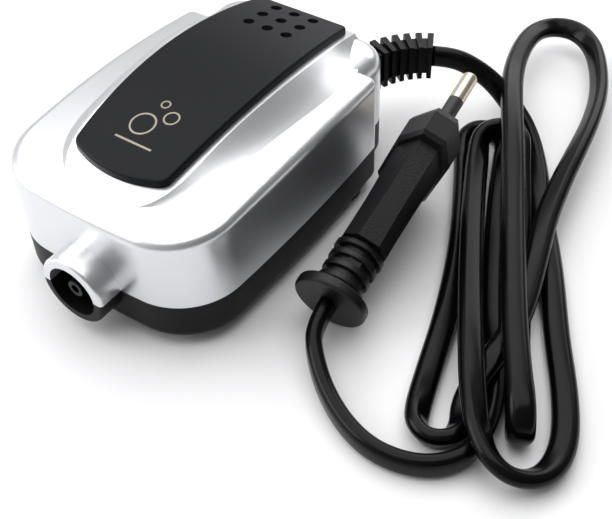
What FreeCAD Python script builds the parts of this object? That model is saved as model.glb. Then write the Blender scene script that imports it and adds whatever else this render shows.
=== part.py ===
# Aquarium air pump with one outlet, its flat mains lead and two-pin plug.
# Millimetres, +Z up. The feet stand on Z = 0, the outlet points to -Y and the lead leaves at +Y.
import FreeCAD, Part
import Sketcher
import math
import os
from FreeCAD import Placement, Rotation, Vector

doc = FreeCAD.newDocument("air_pump")
X_AXIS = Vector(1, 0, 0)
Y_AXIS = Vector(0, 1, 0)
Z_AXIS = Vector(0, 0, 1)

# ---- driving dimensions -------------------------------------------------------------------
sheet = doc.addObject("Spreadsheet::Sheet", "Sizes")
SIZES = {
    # casing
    "case_width": 65.0, "case_front": 43.4, "shoulder_rear": 35.5, "case_rear": 50.0,
    "rear_width": 52.6, "case_bottom": 2.5, "parting_height": 13.8, "wall": 2.2,
    "front_corner": 17.0, "shoulder_corner": 3.0, "rear_corner": 9.0, "front_bow": 300.0,
    "side_bow": 520.0, "shoulder_front_height": 33.4, "shoulder_top_height": 36.4,
    "shoulder_edge": 2.6, "rear_height": 35.4, "rear_edge": 5.0, "bottom_edge": 3.0,
    "hump_top_height": 41.5, "hump_end_height": 36.2, "hump_middle": 9.0, "hump_reach": 38.0,
    "shoulder_middle": 5.0,
    # panel
    "panel_front": 28.0, "panel_rear": 46.0, "panel_end_width": 28.4, "panel_mid_width": 32.8,
    "panel_thickness": 2.0, "panel_edge": 0.8, "panel_corner": 3.0, "panel_front_bow": 3.0,
    "vent_diameter": 3.0, "vent_pitch": 6.0, "vent_middle": 36.0, "vent_opening": 17.0,
    # outlet
    "ring_radius": 9.4, "ring_length": 6.6, "recess_radius": 6.9, "recess_depth": 7.4,
    "nozzle_radius": 2.2, "nozzle_neck": 3.0, "nozzle_bore": 1.2, "nozzle_flange": 4.6,
    # feet
    "foot_radius": 5.0, "foot_height": 4.0, "foot_x": 22.0, "foot_front": -30.0,
    "foot_rear_x": 25.0, "foot_rear": 27.0, "boss_radius": 3.2, "boss_length": 20.6, "boss_x": 26.0,
    "boss_front": -15.0, "boss_rear_x": 20.0, "boss_rear": 43.5, "screw_radius": 1.45, "screw_head": 2.7,
    # drive
    "drive_x": -8.4, "drive_height": 19.0, "core_front": 12.0, "core_rear": 37.0,
    "core_width": 30.0, "core_stack": 12.0, "yoke": 5.0, "outer_leg": 5.0, "centre_leg": 7.0,
    "bobbin_wall": 0.8, "coil_reach": 4.9, "core_post": 3.1, "core_screw": 1.45,
    "arm_pivot_y": -25.0, "arm_thickness": 3.0, "arm_height": 12.0, "arm_end": 4.0,
    "pivot_radius": 1.5, "pivot_fit": 0.05, "magnet_width": 12.0, "magnet_depth": 5.0,
    # air end
    "chamber_x": 1.5, "chamber_y": -11.0, "chamber_width": 16.0, "chamber_side": 24.0,
    "membrane_radius": 10.5, "membrane_hub": 4.5, "membrane_skin": 1.1, "clamp_thickness": 1.5,
    "cup_radius": 7.6, "cup_depth": 3.0, "valve_plate": 2.5, "port_radius": 1.4,
    "flap_side": 5.0, "flap_thickness": 0.5, "flap_gap": 0.05, "cover_thickness": 2.0,
    "hose_radius": 3.3, "hose_bore": 2.0, "hose_run": 5.4,
    # lead
    "relief_x": 14.0, "relief_height": 19.5, "relief_bend": 23.5, "relief_turn": 63.0,
    "rib_height": 12.0, "rib_depth": 7.4, "relief_core_height": 8.4, "relief_core_depth": 5.0,
    "cord_diameter": 5.2,
    # plug
    "plug_x": 50.1, "plug_y": -16.9, "plug_height": 9.4, "plug_yaw": 4.0, "plug_pitch": 12.4,
    "plug_roll": 23.0, "plug_length": 52.0, "plug_span": 37.6, "plug_thickness": 14.6, "disc_radius": 9.4,
    "disc_thickness": 3.0, "neck_radius": 6.0, "neck_length": 13.0, "pin_radius": 2.0,
    "pin_spacing": 18.6, "pin_length": 19.0, "sleeve_length": 10.0, "sleeve_radius": 2.0,
}
for row, (alias, value) in enumerate(SIZES.items(), start=1):
    sheet.set("A%d" % row, alias)
    sheet.set("B%d" % row, str(value))
    sheet.setAlias("B%d" % row, alias)
WORKED_OUT = {
    "panel_reach": "( panel_front + panel_rear ) / 2",
    "panel_swell": "( panel_mid_width - panel_end_width ) / 2",
    "panel_side_bow": "( panel_reach ^ 2 + panel_swell ^ 2 ) / ( 2 * panel_swell )",
    "panel_nose_bow": "( panel_end_width ^ 2 / 4 + panel_front_bow ^ 2 ) / ( 2 * panel_front_bow )",
    "floor": "case_bottom + wall",
    "core_base": "drive_height - core_stack / 2",
}
for row, (alias, formula) in enumerate(WORKED_OUT.items(), start=1):
    sheet.set("D%d" % row, alias)
    sheet.set("E%d" % row, "=" + formula)
    sheet.setAlias("E%d" % row, alias)
doc.recompute()


def size(alias):
    return float(sheet.get(alias))


def value(text):
    """Work out a formula of cells."""
    result = sheet.evalExpression(cell(text))
    return float(getattr(result, "Value", result))


def bind(target, **expressions):
    """Tie properties of an object to cells of the sheet."""
    for prop, expression in expressions.items():
        target.setExpression(prop, expression)
    return target


def cell(text):
    """Spell a formula whose words are cell names with the sheet's prefix."""
    words = text.replace("(", "( ").replace(")", " )").split()
    return " ".join("Sizes." + word if word in SIZES or word in WORKED_OUT else word
                    for word in words)


# ---- primitives bound to the sheet --------------------------------------------------------
def box(name, length, width, height, x="0", y="0", z="0"):
    """A Part::Box whose corner is at (x, y, z); every argument is a formula of cells."""
    made = doc.addObject("Part::Box", name)
    bind(made, Length=cell(length), Width=cell(width), Height=cell(height))
    place(made, x, y, z)
    return made


def cylinder(name, radius, height, x="0", y="0", z="0", axis=Z_AXIS):
    """A Part::Cylinder that starts at (x, y, z) and runs along axis."""
    made = doc.addObject("Part::Cylinder", name)
    bind(made, Radius=cell(radius), Height=cell(height))
    made.Placement = Placement(Vector(), Rotation(Z_AXIS, axis))
    place(made, x, y, z)
    return made


def place(made, x, y, z):
    for letter, formula in zip("xyz", (x, y, z)):
        made.setExpression("Placement.Base." + letter, cell(formula))


def fuse(name, *parts):
    made = doc.addObject("Part::MultiFuse", name)
    made.Shapes = list(parts)
    made.Refine = True
    return made


def cut(name, base, *tools):
    made = doc.addObject("Part::Cut", name)
    made.Base = base
    made.Tool = tools[0] if len(tools) == 1 else fuse(name + "_tools", *tools)
    made.Refine = True
    return made


def common(name, base, tool):
    made = doc.addObject("Part::Common", name)
    made.Base = base
    made.Tool = tool
    return made


def feature(name, shape):
    """A plain feature for a shape that neither primitives nor bodies suit."""
    made = doc.addObject("Part::Feature", name)
    made.Shape = shape
    return made


nodes = []


def node(made, label):
    """Name a finished sub-part; its label is its file name."""
    made.Label = label
    nodes.append(made)
    return made


# ---- bodies ------------------------------------------------------------------------------
def origin_plane(body, role):
    return next(item for item in body.Origin.OriginFeatures if item.Role == role)


def sketch_on(body, name, role):
    made = body.newObject("Sketcher::SketchObject", name)
    made.AttachmentSupport = [(origin_plane(body, role), "")]
    made.MapMode = "FlatFace"
    return made


def pin(sketch, edge, point, x, y):
    """Pin the start of an edge, now at point, at two formulas of cells."""
    for kind, formula, now in (("DistanceX", x, point.x), ("DistanceY", y, point.y)):
        index = sketch.addConstraint(Sketcher.Constraint(kind, -1, 1, edge, 1, now))
        sketch.setExpression("Constraints[%d]" % index, cell(formula))


def pad(body, profile, name, length, low="0"):
    """Pad a sketch upwards from the height low."""
    profile.setExpression("AttachmentOffset.Base.z", cell(low))
    made = body.newObject("PartDesign::Pad", name)
    made.Profile = profile
    made.setExpression("Length", cell(length))
    doc.recompute()
    return made


def edges_where(shape, test):
    """Names of the edges whose every vertex passes the test."""
    return ["Edge%d" % (index + 1) for index, edge in enumerate(shape.Edges)
            if all(test(vertex.Point) for vertex in edge.Vertexes)]


def upright_edges(shape, test):
    """Names of the vertical edges that pass the test."""
    return [name for name in edges_where(shape, test)
            if abs(shape.getElement(name).tangentAt(
                shape.getElement(name).FirstParameter).z) > 0.99]


def round_edges(body, base, names, radius, name):
    made = body.newObject("PartDesign::Fillet", name)
    made.Base = (base, names)
    made.setExpression("Radius", cell(radius))
    doc.recompute()
    return made


def round_rim(name, base, test, radius):
    """Round the edges of a boolean's result that pass the test."""
    doc.recompute()
    made = doc.addObject("Part::Fillet", name)
    made.Base = base
    chosen = edges_where(base.Shape, test)
    made.Edges = [(int(edge[4:]), radius, radius) for edge in chosen]
    return made


def bowed_body(name, corners, bows, low, length):
    """A pad over a four-sided outline whose sides bow outwards.

    corners are formulas of x and y, anticlockwise from the front left; bows are the sides'
    radii in the order front, right, rear, left, and None is a straight side.
    """
    body = doc.addObject("PartDesign::Body", name)
    outline = sketch_on(body, name + "_outline", "XY_Plane")
    points = []
    for x, y in corners:
        points.append(Vector(value(x), value(y), 0))
    for index, bow in enumerate(bows):
        start = points[index]
        finish = points[(index + 1) % 4]
        if bow is None:
            outline.addGeometry(Part.LineSegment(start, finish), False)
            continue
        chord = finish - start
        outward = chord.cross(Z_AXIS).normalize()
        radius = size(bow)
        rise = radius - math.sqrt(radius ** 2 - (chord.Length / 2) ** 2)
        middle = (start + finish) / 2 + outward * rise
        outline.addGeometry(Part.Arc(start, middle, finish), False)
    for index, bow in enumerate(bows):
        following = (index + 1) % 4
        outline.addConstraint(Sketcher.Constraint("Coincident", index, 2, following, 1))
        pin(outline, index, points[index], *corners[index])
        if bow is not None:
            number = outline.addConstraint(Sketcher.Constraint("Radius", index, size(bow)))
            outline.setExpression("Constraints[%d]" % number, cell(bow))
    doc.recompute()
    pad(body, outline, name + "_pad", length, low)
    return body


# ---- casing volumes ----------------------------------------------------------------------
# The casing's outside and its hollow are the same four volumes, the second one wall smaller.
def broad_volume(name, inset, low, length):
    """The wide part of the casing, up to the shoulders' rear step."""
    half = "( case_width / 2 - 1.5 - %s )" % inset
    front = "%s - case_front + 1.6" % inset
    rear = "shoulder_rear - %s" % inset
    corners = [("0 - " + half, front), (half, front), (half, rear), ("0 - " + half, rear)]
    body = bowed_body(name, corners, ["front_bow", "side_bow", None, "side_bow"], low, length)
    shape = body.Tip.Shape
    front_edges = upright_edges(shape, lambda point: point.y < 0)
    rounded = round_edges(body, body.Tip, front_edges, "front_corner - " + inset, name + "_front")
    rear_edges = upright_edges(rounded.Shape, lambda point: point.y > 20)
    round_edges(body, rounded, rear_edges, "shoulder_corner", name + "_rear")
    return body


def rear_volume(name, inset, low, length):
    """The narrower rear end, behind the shoulders."""
    half = "( rear_width / 2 - %s )" % inset
    rear = "case_rear - %s" % inset
    corners = [("0 - " + half, "15"), (half, "15"), (half, rear), ("0 - " + half, rear)]
    body = bowed_body(name, corners, [None, None, None, None], low, length)
    edges = upright_edges(body.Tip.Shape, lambda point: point.y > 20)
    round_edges(body, body.Tip, edges, "rear_corner - " + inset, name + "_corners")
    return body


def roller(name, middle, top, half_chord, rise, drop):
    """A big cylinder across the casing that gives a top its arch from front to rear."""
    made = doc.addObject("Part::Cylinder", name)
    radius = "( ( %s ^ 2 + %s ^ 2 ) / ( 2 * %s ) )" % (half_chord, rise, rise)
    bind(made, Radius=cell("%s - ( %s )" % (radius, drop)), Height="120")
    made.Placement = Placement(Vector(), Rotation(Z_AXIS, X_AXIS))
    place(made, "0 - 60", middle, "%s - %s" % (top, radius))
    return made


def shoulder_roller(name, drop):
    rise = "( shoulder_top_height - shoulder_front_height )"
    reach = "( case_front + shoulder_middle )"
    return roller(name, "shoulder_middle", "shoulder_top_height", reach, rise, drop)


def hump_roller(name, drop):
    rise = "( hump_top_height - hump_end_height )"
    return roller(name, "hump_middle", "hump_top_height", "hump_reach", rise, drop)


def shoulder_height(along):
    """The height of the shoulders' arched surface at one place along the casing."""
    rise = size("shoulder_top_height") - size("shoulder_front_height")
    reach = size("case_front") + size("shoulder_middle")
    radius = (reach ** 2 + rise ** 2) / (2 * rise)
    away = along - size("shoulder_middle")
    return size("shoulder_top_height") - radius + math.sqrt(radius ** 2 - away ** 2)


def hump_loft(name, inset):
    """The swelling under the panel: narrow in front, widest in the middle, hollow flanks."""
    stations = ((-36.5, 6.0, 9.5), (-32.0, 12.5, 16.5), (-27.0, 15.0, 20.5), (-15.0, 16.3, 25.5),
                (7.0, 17.2, 29.0), (29.0, 16.8, 27.5), (40.0, 15.9, 21.5), (47.5, 15.2, 18.5))
    wall = inset * size("wall")
    wires = []
    for along, half_crest, half_base in stations:
        swell = 1 - ((along - size("hump_middle")) / size("hump_reach")) ** 2
        rise = (size("hump_top_height") - size("hump_end_height")) * swell
        half_top = half_crest - wall
        top = size("hump_end_height") + rise + 0.6 - wall
        base = min(shoulder_height(along), size("rear_height")) - 0.5 - 1.5 * wall
        width = half_base - wall - half_top
        tall = top - base
        station = along - wall * inset
        flank = [(half_top + width, base), (half_top + 0.58 * width, base + 0.14 * tall),
                 (half_top + 0.28 * width, base + 0.6 * tall), (half_top, top)]
        right = [Vector(x, station, z) for x, z in flank]
        left = [Vector(-x, station, z) for x, z in reversed(flank)]
        sunk = Vector(0, 0, -3)
        edges = []
        for poles in (right, left):
            curve = Part.BezierCurve()
            curve.setPoles(poles)
            edges.append(curve.toBSpline().toShape())
        edges.insert(1, Part.makeLine(right[-1], left[0]))
        edges.append(Part.makeLine(left[-1], left[-1] + sunk))
        edges.append(Part.makeLine(left[-1] + sunk, right[0] + sunk))
        edges.append(Part.makeLine(right[0] + sunk, right[0]))
        wires.append(Part.Wire(edges))
    return feature(name, Part.makeLoft(wires, True, False))


def casing_volume(name, drop, inset):
    """Everything above the parting plane, as a solid: the outside, or the hollow."""
    broad = broad_volume(name + "_broad", drop, "parting_height - 1", "35")
    arched = common(name + "_arched", broad, shoulder_roller(name + "_arch", drop))
    if inset == 0:
        arched = round_rim(name + "_shoulders", arched, lambda point: point.z > 25,
                           size("shoulder_edge"))
    height = "rear_height - parting_height + 1 - %s" % drop
    rear = rear_volume(name + "_end", drop, "parting_height - 1", height)
    if inset == 0:
        rims = edges_where(rear.Tip.Shape, lambda point: point.z > 30 and point.y > 17)
        round_edges(rear, rear.Tip, rims, "rear_edge", name + "_end_rim")
    hump = common(name + "_hump", hump_loft(name + "_loft", inset),
                  hump_roller(name + "_hump_arch", drop))
    return fuse(name, arched, rear, hump)


# ---- upper casing ------------------------------------------------------------------------
outside = casing_volume("upper_outside", "0", 0)
hollow = casing_volume("upper_hollow", "wall", 1)


def outlet_ring(name):
    """The sleeve round the outlet, a full cylinder that each casing takes its half of."""
    ring = cylinder(name + "_sleeve", "ring_radius", "ring_length + 3",
                    y="0 - case_front - ring_length", z="parting_height", axis=Y_AXIS)
    front = -size("case_front") - size("ring_length")
    return round_rim(name, ring, lambda point: point.y < front + 0.1, 0.9)


def outlet_cuts(name):
    """The ring's recess and the nozzle's hole in the front wall."""
    recess = cylinder(name + "_recess", "recess_radius", "recess_depth + 1",
                      y="0 - case_front - ring_length - 1", z="parting_height", axis=Y_AXIS)
    hole = cylinder(name + "_hole", "nozzle_neck + 0.1", "20", y="0 - case_front - 8",
                    z="parting_height", axis=Y_AXIS)
    return fuse(name, recess, hole)


BOSSES = (("0 - boss_x", "boss_front"), ("boss_x", "boss_front"),
          ("0 - boss_rear_x", "boss_rear"), ("boss_rear_x", "boss_rear"))
FEET = (("0 - foot_x", "foot_front"), ("foot_x", "foot_front"),
        ("0 - foot_rear_x", "foot_rear"), ("foot_rear_x", "foot_rear"))

below = box("below_parting", "120", "160", "parting_height + 20", "0 - 60", "0 - 90", "0 - 20")
above = box("above_parting", "120", "160", "60", "0 - 60", "0 - 90", "parting_height")
vent_way = box("vent_way", "vent_opening", "vent_opening", "30", "0 - vent_opening / 2",
               "vent_middle - vent_opening / 2", "25")
relief_way = box("relief_way", "relief_core_depth", "8", "relief_core_height",
                 "relief_x - relief_core_depth / 2", "case_rear - 5",
                 "relief_height - relief_core_height / 2")
shell = cut("upper_shell", fuse("upper_solid", outside, outlet_ring("upper_ring")), hollow)
bosses = [cylinder("upper_boss_%d" % number, "boss_radius", "boss_length", x, y, "parting_height")
          for number, (x, y) in enumerate(BOSSES)]
boss_holes = [cylinder("upper_boss_hole_%d" % number, "screw_radius", "11", x, y,
                       "parting_height - 1")
              for number, (x, y) in enumerate(BOSSES)]
upper = cut("upper_cut", fuse("upper_with_bosses", shell, *bosses), below, vent_way, relief_way,
            outlet_cuts("upper_outlet"), *boss_holes)
node(upper, "upper_casing")
doc.recompute()

BRACKET_SCREWS = ("arm_pivot_y - 8.3", "arm_pivot_y + 7")
EAR_SCREWS = ("chamber_y - chamber_side / 2 - 3", "chamber_y + chamber_side / 2 + 3")

# ---- lower casing ------------------------------------------------------------------------
broad_low = broad_volume("lower_broad", "0", "case_bottom", "parting_height - case_bottom")
bottom = edges_where(broad_low.Tip.Shape, lambda point: point.z < size("case_bottom") + 0.1)
round_edges(broad_low, broad_low.Tip, bottom, "bottom_edge", "lower_broad_rim")
rear_low = rear_volume("lower_end", "0", "case_bottom", "parting_height - case_bottom")
bottom = edges_where(rear_low.Tip.Shape,
                     lambda point: point.z < size("case_bottom") + 0.1 and point.y > 17)
round_edges(rear_low, rear_low.Tip, bottom, "bottom_edge", "lower_end_rim")
hollow_low = fuse("lower_hollow", broad_volume("lower_room", "wall", "floor", "30"),
                  rear_volume("lower_end_room", "wall", "floor", "30"))
low_ring = cut("lower_ring", outlet_ring("lower_ring_full"), above)
tray = cut("lower_tray", fuse("lower_solid", broad_low, rear_low, low_ring), hollow_low)

CORE_POSTS = [("drive_x - %s" % reach, along)
              for reach in ("( core_width - outer_leg ) / 2", "( outer_leg - core_width ) / 2")
              for along in ("core_front + 3.5", "core_rear - yoke / 2")]
posts = [cylinder("core_post_%d" % number, "core_post", "core_base - 1 - floor", x, y, "floor")
         for number, (x, y) in enumerate(CORE_POSTS)]
post_holes = [cylinder("core_post_hole_%d" % number, "core_screw", "6", x, y, "7")
              for number, (x, y) in enumerate(CORE_POSTS)]
screw_towers = [cylinder("tower_%d" % number, "boss_radius + 0.6", "parting_height - floor",
                         x, y, "floor") for number, (x, y) in enumerate(BOSSES)]
tower_holes = [cylinder("tower_hole_%d" % number, "screw_radius", "20", x, y, "0")
               for number, (x, y) in enumerate(BOSSES)]
head_wells = [cylinder("head_well_%d" % number, "screw_head + 0.1", "6", x, y, "0")
              for number, (x, y) in enumerate(BOSSES)]
floor_places = [("drive_x", y) for y in BRACKET_SCREWS]
floor_places += [("chamber_x + 15.5", y) for y in EAR_SCREWS]
floor_holes = [cylinder("floor_hole_%d" % number, "core_screw", "5", x, y, "3.4")
               for number, (x, y) in enumerate(floor_places)]
foot_seats = [cylinder("foot_seat_%d" % number, "foot_radius", "case_bottom + 1", x, y, "0")
              for number, (x, y) in enumerate(FEET)]
lower = cut("lower_cut", fuse("lower_with_posts", tray, *posts, *screw_towers),
            outlet_cuts("lower_outlet"), *post_holes, *tower_holes, *head_wells, *foot_seats,
            *floor_holes)
node(lower, "lower_casing")

FOOT_NAMES = ("foot_front_left", "foot_front_right", "foot_rear_left", "foot_rear_right")
for label, (x, y) in zip(FOOT_NAMES, FEET):
    pad_round = cylinder(label + "_round", "foot_radius", "case_bottom + 1", x, y, "0")
    node(round_rim(label + "_edge", pad_round, lambda point: point.z < 0.1, 0.6), label)

screws = []
for number, (x, y) in enumerate(BOSSES):
    head = cylinder("case_screw_head_%d" % number, "screw_head", "1.8", x, y, "4.2")
    shank = cylinder("case_screw_shank_%d" % number, "screw_radius", "15.5", x, y, "6")
    slot = box("case_screw_slot_%d" % number, "3.6", "0.7", "0.9", x + " - 1.8", y + " - 0.35",
               "4.2")
    cross = box("case_screw_cross_%d" % number, "0.7", "3.6", "0.9", x + " - 0.35", y + " - 1.8",
                "4.2")
    screws.append(cut("case_screw_%d" % number, fuse("case_screw_full_%d" % number, head, shank),
                      slot, cross))
node(fuse("case_screw_set", *screws), "casing_screws")

# ---- top panel ---------------------------------------------------------------------------
half_end = "panel_end_width / 2"
panel_corners = [("0 - " + half_end, "0 - panel_front"), (half_end, "0 - panel_front"),
                 (half_end, "panel_rear"), ("0 - " + half_end, "panel_rear")]
panel_body = bowed_body("panel_plan", panel_corners,
                        ["panel_nose_bow", "panel_side_bow", None, "panel_side_bow"], "30", "20")
corners = upright_edges(panel_body.Tip.Shape, lambda point: point.y < 0)
rounded = round_edges(panel_body, panel_body.Tip, corners, "panel_corner", "panel_front_corners")
corners = upright_edges(rounded.Shape, lambda point: point.y > 30)
round_edges(panel_body, rounded, corners, "panel_corner / 2", "panel_rear_corners")
arched_panel = cut("panel_arched", common("panel_under_top", panel_body,
                                          hump_roller("panel_top_arch", "0 - panel_thickness")),
                   hump_roller("panel_seat_arch", "0"))
doc.recompute()


def on_panel_top(point):
    """Whether a point lies on the panel's arched top face."""
    rise = value("hump_top_height - hump_end_height")
    radius = (size("hump_reach") ** 2 + rise ** 2) / (2 * rise)
    centre = Vector(0, size("hump_middle"), size("hump_top_height") - radius)
    away = Vector(0, point.y, point.z) - centre
    return away.Length > radius + size("panel_thickness") - 0.05


panel_round = round_rim("panel_round", arched_panel, on_panel_top, size("panel_edge"))
vents = [cylinder("vent_%d_%d" % (row, column), "vent_diameter / 2", "30",
                  "%d * vent_pitch" % column, "vent_middle + %d * vent_pitch" % row, "25")
         for row in (-1, 0, 1) for column in (-1, 0, 1)]
node(cut("panel_vented", panel_round, *vents), "top_panel")

felt_block = box("felt_block", "vent_opening - 0.4", "vent_opening - 0.4", "30",
                 "0.2 - vent_opening / 2", "vent_middle + 0.2 - vent_opening / 2", "25")
felt_sheet = cut("felt_sheet", common("felt_under_panel", felt_block,
                                      hump_roller("felt_top_arch", "0.1")),
                 hump_roller("felt_low_arch", "1.8"))
node(felt_sheet, "vent_felt")

# ---- outlet nozzle and its hose ----------------------------------------------------------
nose = "( 0 - case_front - ring_length )"
nozzle_parts = [
    cylinder("nozzle_tube", "nozzle_radius", "recess_depth - 1.2", y=nose + " + 1.2",
             z="parting_height", axis=Y_AXIS),
    cylinder("nozzle_neck_tube", "nozzle_neck", "3", y=nose + " + recess_depth",
             z="parting_height", axis=Y_AXIS),
    cylinder("nozzle_flange_disc", "nozzle_flange", "1.3", y="wall + 0.3 - case_front",
             z="parting_height", axis=Y_AXIS),
    cylinder("nozzle_spigot", "hose_bore", "2.6", y="wall + 1.6 - case_front",
             z="parting_height", axis=Y_AXIS),
]
nozzle_way = cylinder("nozzle_way", "nozzle_bore", "20", y=nose, z="parting_height", axis=Y_AXIS)
node(cut("nozzle_cut", fuse("nozzle_full", *nozzle_parts), nozzle_way), "outlet_nozzle")


def bent_path(points, share):
    """Straight runs joined by tangent arcs; share is the arc's part of the shorter run."""
    edges = []
    radii = []
    start = points[0]
    for before, here, after in zip(points, points[1:], points[2:]):
        inward = (here - before).normalize()
        outward = (after - here).normalize()
        turn = inward.getAngle(outward)
        back = share * min((here - before).Length, (after - here).Length)
        radii.append(back / math.tan(turn / 2))
        first = here - inward * back
        last = here + outward * back
        towards = (outward - inward).normalize()
        centre = here + towards * (radii[-1] / math.cos(turn / 2))
        middle = centre - towards * radii[-1]
        edges.append(Part.LineSegment(start, first).toShape())
        edges.append(Part.Arc(first, middle, last).toShape())
        start = last
    edges.append(Part.LineSegment(start, points[-1]).toShape())
    return Part.Wire(edges), radii


def tube(points, radius, share=0.45):
    """A round solid along a path of runs and arcs, with its path and bend radii."""
    path, radii = bent_path(points, share)
    section = Part.Wire(Part.makeCircle(radius, points[0], points[1] - points[0]))
    return path.makePipeShell([section], True, False), path, radii


spigot_x = size("chamber_x") + 7.7
spigot_y = size("chamber_y") - size("chamber_side") / 2
hose_start = value("wall + 1.6 - case_front")
height = size("parting_height")
hose_run = size("hose_run")
hose_points = [Vector(0, hose_start, height), Vector(0, hose_start + hose_run, height),
               Vector(spigot_x, spigot_y - hose_run, height),
               Vector(spigot_x, spigot_y, height)]
hose_solid = tube(hose_points, size("hose_radius"), 0.5)[0]
hose_way = tube(hose_points, size("hose_bore"), 0.5)[0]
node(feature("hose_part", hose_solid.cut(hose_way)), "air_hose")

# ---- electromagnet -----------------------------------------------------------------------
left = "drive_x - core_width / 2"
core_full = box("core_full", "core_width", "core_rear - core_front", "core_stack", left,
                "core_front", "core_base")
window_width = "( core_width - centre_leg ) / 2 - outer_leg"
windows = [box("core_window_%d" % number, window_width, "core_rear - core_front - yoke + 1",
               "core_stack + 2", x, "core_front - 1", "core_base - 1")
           for number, x in enumerate((left + " + outer_leg", "drive_x + centre_leg / 2"))]
core_holes = [cylinder("core_hole_%d" % number, "core_screw", "20", x, y, "core_base - 2")
              for number, (x, y) in enumerate(CORE_POSTS)]
node(cut("core_cut", core_full, *windows, *core_holes), "core_laminations")


def sleeve(name, grow, front, length):
    """A box round the centre leg, grown on all four sides."""
    width = "( centre_leg + 2 * ( %s ) )" % grow
    height = "( core_stack + 2 * ( %s ) )" % grow
    return box(name, width, length, height, "drive_x - %s / 2" % width, front,
               "drive_height - %s / 2" % height)


coil_front = "core_front + 1.2"
coil_length = "core_rear - core_front - yoke - 1.6"
bobbin_tube = sleeve("bobbin_tube", "bobbin_wall", coil_front, coil_length)
cheeks = [sleeve("bobbin_cheek_front", "coil_reach + 0.9", coil_front, "1"),
          sleeve("bobbin_cheek_rear", "coil_reach + 0.9",
                 "core_rear - yoke - 1.4", "1")]
leg_way = sleeve("bobbin_leg_way", "0", "core_front", "core_rear - core_front")
node(cut("bobbin_cut", fuse("bobbin_full", bobbin_tube, *cheeks), leg_way), "coil_bobbin")
winding = sleeve("winding_full", "coil_reach + 0.3", coil_front + " + 1", coil_length + " - 2")
winding_way = sleeve("winding_way", "bobbin_wall", "core_front", "core_rear - core_front")
winding_cut = cut("winding_cut", winding, winding_way)
node(winding_cut, "coil_winding")

pads = []
core_screws = []
for number, (x, y) in enumerate(CORE_POSTS):
    ring = cylinder("damper_ring_%d" % number, "core_post", "1", x, y, "core_base - 1")
    bore = cylinder("damper_bore_%d" % number, "core_screw", "3", x, y, "core_base - 2")
    pads.append(cut("damper_%d" % number, ring, bore))
    head = cylinder("core_screw_head_%d" % number, "core_screw + 1", "1.8", x, y,
                    "core_base + core_stack")
    shank = cylinder("core_screw_shank_%d" % number, "core_screw", "core_base + core_stack - 7.5",
                     x, y, "7.5")
    slot = box("core_screw_slot_%d" % number, "3.4", "0.6", "0.8", x + " - 1.7", y + " - 0.3",
               "core_base + core_stack + 1")
    core_screws.append(cut("core_screw_%d" % number,
                           fuse("core_screw_full_%d" % number, head, shank), slot))
node(fuse("damper_set", *pads), "damping_pads")
node(fuse("core_screw_set", *core_screws), "core_screws")

# ---- swing arm ---------------------------------------------------------------------------
arm_low = "drive_height - arm_height / 2"
blade = box("arm_blade", "arm_thickness", "arm_end - arm_pivot_y", "arm_height",
            "drive_x - arm_thickness / 2", "arm_pivot_y", arm_low)
eye = cylinder("arm_eye", "pivot_radius + 1.8", "arm_height", "drive_x", "arm_pivot_y", arm_low)
eye_way = cylinder("arm_eye_way", "pivot_radius + pivot_fit", "arm_height + 2", "drive_x",
                   "arm_pivot_y", arm_low + " - 1")
node(cut("arm_cut", fuse("arm_full", blade, eye), eye_way), "swing_arm")

magnet_rear = "( core_front - 1.5 )"
magnet = box("magnet_block", "magnet_width", "magnet_depth", "arm_height",
             "drive_x - magnet_width / 2", magnet_rear + " - magnet_depth", arm_low)
node(magnet, "arm_magnet")
holder = box("holder_block", "magnet_width + 2", "magnet_depth + 3", "arm_height + 2",
             "drive_x - magnet_width / 2 - 1", magnet_rear + " - magnet_depth - 4",
             arm_low + " - 1")
holder_room = box("holder_room", "magnet_width", "magnet_depth + 1", "arm_height",
                  "drive_x - magnet_width / 2", magnet_rear + " - magnet_depth", arm_low)
holder_slot = box("holder_slot", "arm_thickness", "20", "arm_height",
                  "drive_x - arm_thickness / 2", "arm_end - 20", arm_low)
node(cut("holder_cut", holder, holder_room, holder_slot), "magnet_holder")

# The bracket is a C that holds the pivot pin above and below the arm's eye.
bracket_block = box("bracket_block", "10", "10", "drive_height + 11 - floor", "drive_x - 5",
                    "arm_pivot_y - 5.5", "floor")
bracket_foot = box("bracket_foot", "10", "20", "2.2", "drive_x - 5", "arm_pivot_y - 11", "floor")
bracket_gap = box("bracket_gap", "14", "12", "arm_height + 1", "drive_x - 7",
                  "arm_pivot_y - 3.9", arm_low + " - 0.5")
pin_way = cylinder("bracket_pin_way", "pivot_radius", "30", "drive_x", "arm_pivot_y", "8")
bracket_holes = [cylinder("bracket_hole_%d" % number, "core_screw", "10", "drive_x", y, "4")
                 for number, y in enumerate(BRACKET_SCREWS)]
node(cut("bracket_cut", fuse("bracket_full", bracket_block, bracket_foot), bracket_gap, pin_way,
         *bracket_holes), "pivot_bracket")
node(cylinder("pivot_pin_rod", "pivot_radius", "drive_height + 11 - 8.5", "drive_x",
              "arm_pivot_y", "8"), "pivot_pin")


def flat_screw(name, x, y, seat):
    """A screw with its head on seat and its tip in the casing's floor."""
    head = cylinder(name + "_head", "core_screw + 1", "1.4", x, y, seat)
    shank = cylinder(name + "_shank", "core_screw", seat + " - 3.4", x, y, "3.4")
    return fuse(name, head, shank)


bracket_screws = [flat_screw("bracket_screw_%d" % number, "drive_x", y, "floor + 2.2")
                  for number, y in enumerate(BRACKET_SCREWS)]
node(fuse("bracket_screw_set", *bracket_screws), "bracket_screws")

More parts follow.
